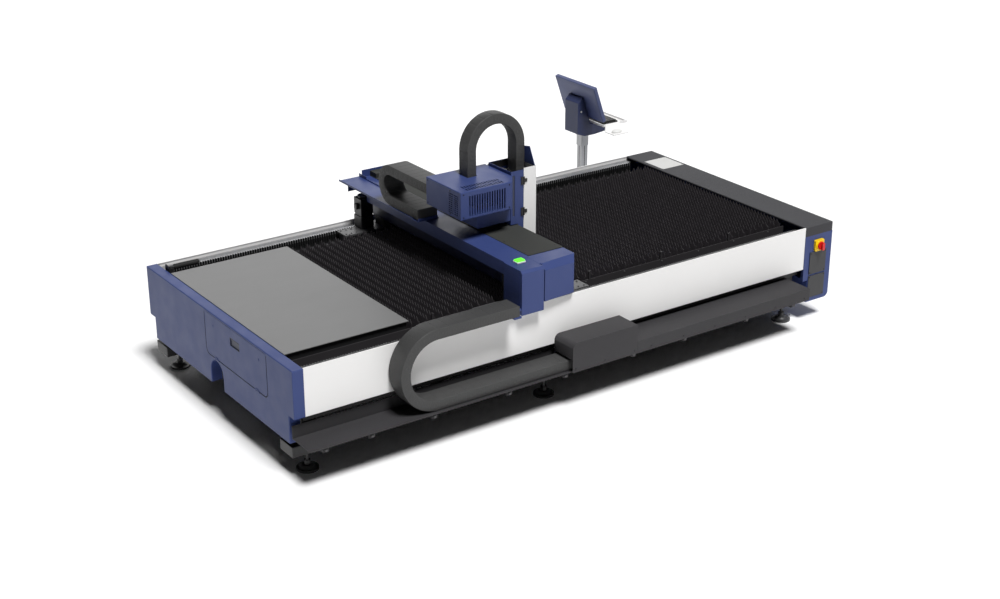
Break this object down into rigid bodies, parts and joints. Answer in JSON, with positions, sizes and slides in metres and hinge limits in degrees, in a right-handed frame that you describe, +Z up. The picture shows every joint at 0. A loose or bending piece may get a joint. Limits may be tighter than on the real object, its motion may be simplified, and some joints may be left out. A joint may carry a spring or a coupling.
{
  "type": "flat-bed laser cutting machine",
  "caption": "Open flat-bed laser cutter: saw-tooth slat table on levelling feet, rack-driven gantry with cable chains, cross carriage with lifting cutting head, and a rear operator console.",
  "frame": {"origin": "on the floor, under the centre of the overall box", "axes": "+X along the bed from the left end cover to the right one, +Y from the front panel to the rear, +Z up"},
  "size_m": [4.4035, 3.002, 1.755],
  "materials": {
    "blue_paint": "satin powder coat",
    "navy_paint": "satin powder coat",
    "white_paint": "satin powder coat",
    "frame_dark": "satin paint on welded steel",
    "cap_grey": "fine-texture powder coat",
    "trough_grey": "fine-texture powder coat",
    "olive_cover": "matt coated sheet",
    "slat_steel": "dark mill scale",
    "deck_steel": "rolled sheet",
    "bright_steel": "ground steel",
    "machined": "machined",
    "motor_black": "satin black",
    "chain_plastic": "moulded plastic",
    "switch_yellow": "moulded plastic",
    "switch_red": "moulded plastic",
    "lamp_green": "lit lens",
    "screen_black": "glossy panel",
    "black_plastic": "moulded plastic",
    "light_plastic": "moulded plastic"
  },
  "bodies": {
    "bed": {"side_beams": "frame_dark", "cross_tubes": "frame_dark", "base_rails": "frame_dark", "left_cover": "blue_paint", "right_cover": "blue_paint", "right_cap": "cap_grey", "cover_panels": "trough_grey", "isolator_base": "switch_yellow", "front_panel": "white_paint", "rear_panel": "white_paint", "slats": "slat_steel", "slat_supports": "frame_dark", "deck_plate": "deck_steel", "guide_rails": "bright_steel", "racks": "bright_steel", "levelling_feet": "frame_dark", "slag_pans": "frame_dark", "front_tray": "trough_grey", "anchor_box": "trough_grey", "tray_cover": "trough_grey", "console_post": "machined", "console_head": "blue_paint", "monitor": "navy_paint", "screen": "screen_black", "keyboard_tray": "white_paint", "keyboard": "black_plastic", "mouse": "light_plastic", "main_chain_lower": "chain_plastic"},
    "main_loop": {"main_chain_loop": "chain_plastic"},
    "hatch": {"hatch_door": "blue_paint", "hatch_fittings": "motor_black"},
    "isolator": {"isolator_knob": "switch_red"},
    "gantry": {"slider_plates": "machined", "bearing_blocks": "machined", "gantry_beam": "navy_paint", "beam_cover": "blue_paint", "dust_cover": "olive_cover", "front_leg": "blue_paint", "front_box": "blue_paint", "chain_supports": "navy_paint", "status_light": "lamp_green", "drive_motors": "motor_black", "beam_rails": "bright_steel", "main_chain_upper": "chain_plastic", "cross_chain_lower": "chain_plastic"},
    "front_drive": {"front_pinion": "bright_steel"},
    "rear_drive": {"rear_pinion": "bright_steel"},
    "cross_loop": {"cross_chain_loop": "chain_plastic"},
    "carriage": {"carriage_plate": "machined", "carriage_cover": "blue_paint", "cross_motor": "motor_black", "z_column": "blue_paint", "cross_chain_upper": "chain_plastic", "lift_chain_left": "chain_plastic"},
    "cross_drive": {"cross_pinion": "bright_steel"},
    "door": {"head_door": "white_paint"},
    "head": {"z_slide": "machined", "cutting_head": "machined", "lift_chain_right": "chain_plastic"},
    "lift_loop": {"lift_chain_loop": "chain_plastic"}
  },
  "joints": [
    {"name": "gantry_travel", "type": "slide", "parent": "bed", "child": "gantry", "axis": [1, 0, 0], "range_m": [-1.14, 1.86], "deforming": ["main_chain_lower", "main_chain_loop", "main_chain_upper"]},
    {"name": "main_chain_roll", "type": "slide", "parent": "bed", "child": "main_loop", "axis": [1, 0, 0], "range_m": [-0.575, 0.935]},
    {"name": "front_pinion_spin", "type": "hinge", "parent": "gantry", "child": "front_drive", "pos_m": [-0.552, -1.1565, 0.67], "axis": [0, 0, 1], "range_deg": [-2226, 1366]},
    {"name": "rear_pinion_spin", "type": "hinge", "parent": "gantry", "child": "rear_drive", "pos_m": [-0.597, 0.6115, 0.67], "axis": [0, 0, 1], "range_deg": [-1366, 2226]},
    {"name": "cross_travel", "type": "slide", "parent": "gantry", "child": "carriage", "axis": [0, 1, 0], "range_m": [-0.52, 0.96], "deforming": ["cross_chain_lower", "cross_chain_loop", "cross_chain_upper"]},
    {"name": "cross_chain_roll", "type": "slide", "parent": "gantry", "child": "cross_loop", "axis": [0, 1, 0], "range_m": [-0.27, 0.49]},
    {"name": "cross_pinion_spin", "type": "hinge", "parent": "carriage", "child": "cross_drive", "pos_m": [-0.201, -0.335, 0.853], "axis": [1, 0, 0], "range_deg": [-1247, 2297]},
    {"name": "head_lift", "type": "slide", "parent": "carriage", "child": "head", "axis": [0, 0, 1], "range_m": [-0.012, 0.085], "deforming": ["lift_chain_left", "lift_chain_loop", "lift_chain_right"]},
    {"name": "lift_chain_roll", "type": "slide", "parent": "carriage", "child": "lift_loop", "axis": [0, 0, 1], "range_m": [-0.0085, 0.0435]},
    {"name": "head_door_hinge", "type": "hinge", "parent": "carriage", "child": "door", "pos_m": [-0.0995, -0.651, 1.15], "axis": [0, 0, -1], "range_deg": [0, 100]},
    {"name": "hatch_hinge", "type": "hinge", "parent": "bed", "child": "hatch", "pos_m": [-2.2185, -0.549, 0.4265], "axis": [0, -1, 0], "range_deg": [0, 95]},
    {"name": "isolator_turn", "type": "hinge", "parent": "bed", "child": "isolator", "pos_m": [2.047, -1.325, 0.58], "axis": [0, -1, 0], "range_deg": [0, 90]}
  ],
  "couplings": [
    {"joint": "main_chain_roll", "follows": "gantry_travel", "ratio": 0.5},
    {"joint": "front_pinion_spin", "follows": "gantry_travel", "rad_per_m": -20.833},
    {"joint": "rear_pinion_spin", "follows": "gantry_travel", "rad_per_m": 20.833},
    {"joint": "cross_chain_roll", "follows": "cross_travel", "ratio": 0.5},
    {"joint": "cross_pinion_spin", "follows": "cross_travel", "rad_per_m": 41.667},
    {"joint": "lift_chain_roll", "follows": "head_lift", "ratio": 0.5}
  ]
}
